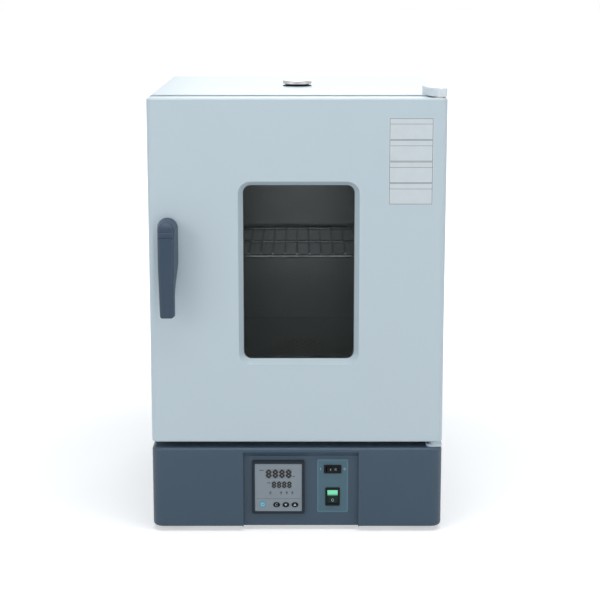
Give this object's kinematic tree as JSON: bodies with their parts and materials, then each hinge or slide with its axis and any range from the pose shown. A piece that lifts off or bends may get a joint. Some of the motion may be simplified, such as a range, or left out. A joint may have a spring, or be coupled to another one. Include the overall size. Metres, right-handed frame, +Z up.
{
  "type": "drying oven",
  "caption": "Bench drying oven with a glazed right-hung door, lever handle, recessed controller, perforated chamber floor over a fan, top vent and rear nitrogen inlet.",
  "frame": {"origin": "bottom centre of the envelope, on the ground under the feet", "axes": "+X to the right as seen from the front, +Y to the back, +Z up; the door faces -Y"},
  "size_m": [0.49, 0.626, 0.7505],
  "materials": {
    "case_paint": "pale blue-grey powder coat, satin",
    "base_paint": "slate blue powder coat, satin",
    "steel_sheet": "brushed stainless sheet",
    "zinc_steel": "zinc plated",
    "chrome_wire": "bright wire",
    "wool": "mineral wool",
    "heater_steel": "heat-tinted tube",
    "brass": "plain",
    "aluminium": "cast, matt",
    "motor_paint": "black enamel",
    "rubber": "matt black",
    "bezel_plastic": "dark slate moulding",
    "face_sheet": "silver printed sheet",
    "black_plastic": "black moulding",
    "display_plastic": "unlit segment display",
    "label_sheet": "teal printed sheet",
    "green_lens": "translucent green rocker",
    "cyan_key": "cyan key",
    "ceramic_board": "pale moulding",
    "handle_plastic": "slate blue moulding, satin",
    "cover_plastic": "light moulding",
    "silicone": "grey silicone",
    "nylon": "natural nylon",
    "glass": "clear toughened"
  },
  "bodies": {
    "cabinet": {"outer_case": "case_paint", "back_panel": "case_paint", "case_screws": "zinc_steel", "front_frame": "steel_sheet", "inner_chamber": "steel_sheet", "insulation": "wool", "chamber_floor": "steel_sheet", "shelf_strips": "steel_sheet", "shelf_clips": "steel_sheet", "lower_shelf": "chrome_wire", "upper_shelf": "chrome_wire", "heaters": "heater_steel", "temperature_probe": "steel_sheet", "nitrogen_inlet": "brass", "nitrogen_pipe": "steel_sheet", "fan_motor": "motor_paint", "motor_bracket": "zinc_steel", "base_shell": "base_paint", "base_floor": "zinc_steel", "feet": "rubber", "control_panel": "base_paint", "controller_bezel": "bezel_plastic", "controller_face": "face_sheet", "controller_body": "black_plastic", "displays": "display_plastic", "switch_plate": "label_sheet", "power_switch_body": "black_plastic", "fan_switch_body": "black_plastic", "solid_state_relay": "ceramic_board", "power_inlet": "black_plastic", "fuse_holder": "black_plastic", "vent_pipe": "black_plastic", "hinge_cover": "cover_plastic", "upper_hinge": "zinc_steel", "lower_hinge": "case_paint", "hinge_screws": "zinc_steel", "latch_keeper": "steel_sheet"},
    "door": {"door_skin": "case_paint", "door_insulation": "wool", "door_liner": "steel_sheet", "window_seal": "rubber", "outer_glass": "glass", "glass_spacer": "steel_sheet", "inner_glass": "glass", "window_trim": "steel_sheet", "door_gasket": "silicone", "spindle_bush": "nylon", "hinge_bushes": "nylon"},
    "handle": {"handle_lever": "handle_plastic", "handle_spindle": "zinc_steel", "latch_cam": "zinc_steel"},
    "vent_cap": {"vent_cap": "steel_sheet"},
    "fan": {"fan_impeller": "aluminium", "fan_shaft": "zinc_steel"},
    "power_rocker": {"power_rocker": "green_lens"},
    "fan_rocker": {"fan_rocker": "black_plastic"},
    "key_power": {"key_power": "cyan_key"},
    "key_set": {"key_set": "black_plastic"},
    "key_down": {"key_down": "black_plastic"},
    "key_up": {"key_up": "black_plastic"}
  },
  "joints": [
    {"name": "door_hinge", "type": "hinge", "parent": "cabinet", "child": "door", "pos_m": [0.233, -0.252, 0.147], "axis": [0, 0, 1], "range_deg": [0, 120]},
    {"name": "handle_turn", "type": "hinge", "parent": "door", "child": "handle", "pos_m": [-0.2125, -0.264, 0.522], "axis": [0, -1, 0], "range_deg": [0, 90]},
    {"name": "vent_turn", "type": "hinge", "parent": "cabinet", "child": "vent_cap", "pos_m": [0, 0.006, 0.736], "axis": [0, 0, 1], "range_deg": [0, 45]},
    {"name": "fan_spin", "type": "hinge", "parent": "cabinet", "child": "fan", "pos_m": [0, -0.084, 0.227], "axis": [0, 0, 1], "continuous": true},
    {"name": "power_rocker_tilt", "type": "hinge", "parent": "cabinet", "child": "power_rocker", "pos_m": [0.06025, -0.2588, 0.05935], "axis": [1, 0, 0], "range_deg": [0, 14]},
    {"name": "fan_rocker_tilt", "type": "hinge", "parent": "cabinet", "child": "fan_rocker", "pos_m": [0.06025, -0.2588, 0.1079], "axis": [0, 0, -1], "range_deg": [0, 14]},
    {"name": "key_power_press", "type": "slide", "parent": "cabinet", "child": "key_power", "axis": [0, 1, 0], "range_m": [0, 0.0006], "stiffness_N_per_m": 400},
    {"name": "key_set_press", "type": "slide", "parent": "cabinet", "child": "key_set", "axis": [0, 1, 0], "range_m": [0, 0.0006], "stiffness_N_per_m": 400},
    {"name": "key_down_press", "type": "slide", "parent": "cabinet", "child": "key_down", "axis": [0, 1, 0], "range_m": [0, 0.0006], "stiffness_N_per_m": 400},
    {"name": "key_up_press", "type": "slide", "parent": "cabinet", "child": "key_up", "axis": [0, 1, 0], "range_m": [0, 0.0006], "stiffness_N_per_m": 400}
  ]
}
